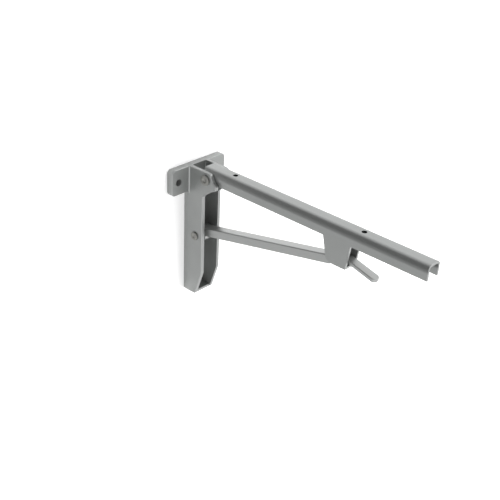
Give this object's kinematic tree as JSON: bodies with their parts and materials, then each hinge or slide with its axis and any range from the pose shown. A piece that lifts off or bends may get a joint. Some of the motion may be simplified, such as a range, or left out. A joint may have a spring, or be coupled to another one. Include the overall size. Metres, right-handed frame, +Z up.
{
  "type": "folding shelf bracket",
  "caption": "Wall-mounted folding bracket: a cast channel with a cross flange, a hinged steel arm channel with a latch box, and a pivoted strut with a release lever.",
  "frame": {"origin": "on the wall face, in the plane of symmetry, level with the arm's pivot", "axes": "+X out from the wall along the open arm, +Y along the wall, +Z up"},
  "size_m": [0.3, 0.0766, 0.1544],
  "materials": {
    "cast_powder_coat": "satin silver-grey powder coat on a casting",
    "sheet_powder_coat": "satin silver-grey powder coat on folded sheet",
    "bar_powder_coat": "satin silver-grey powder coat on bar",
    "rivet_steel": "zinc-plated rivet steel under a thin coat",
    "washer_steel": "plain steel"
  },
  "bodies": {
    "bracket": {"wall_bracket": "cast_powder_coat", "arm_pivot_rivet": "rivet_steel", "strut_rivet_ends": "rivet_steel"},
    "arm": {"arm_channel": "sheet_powder_coat"},
    "arm_washers": {"arm_washer_left": "washer_steel", "arm_washer_right": "washer_steel"},
    "strut_pin": {"strut_pivot_pin": "rivet_steel", "strut_spacer_left": "washer_steel", "strut_spacer_right": "washer_steel"},
    "strut": {"strut": "bar_powder_coat"}
  },
  "joints": [
    {"name": "arm_fold", "type": "hinge", "parent": "bracket", "child": "arm", "pos_m": [0.0312, 0, 0], "axis": [0, 1, 0], "range_deg": [0, 90]},
    {"name": "washer_turn", "type": "hinge", "parent": "bracket", "child": "arm_washers", "pos_m": [0.0312, 0, 0], "axis": [0, 1, 0], "range_deg": [0, 126]},
    {"name": "strut_carry", "type": "hinge", "parent": "arm_washers", "child": "strut_pin", "pos_m": [-0.15958, 0, 0.15352], "axis": [0, -1, 0], "range_deg": [0, 26.1]},
    {"name": "lever_release", "type": "hinge", "parent": "strut_pin", "child": "strut", "pos_m": [0.0164, 0, -0.0707], "axis": [0, -1, 0], "range_deg": [0, 2]}
  ],
  "couplings": [
    {"joint": "washer_turn", "follows": "arm_fold", "ratio": 1.4},
    {"joint": "strut_carry", "follows": "arm_fold", "ratio": 0.29}
  ]
}
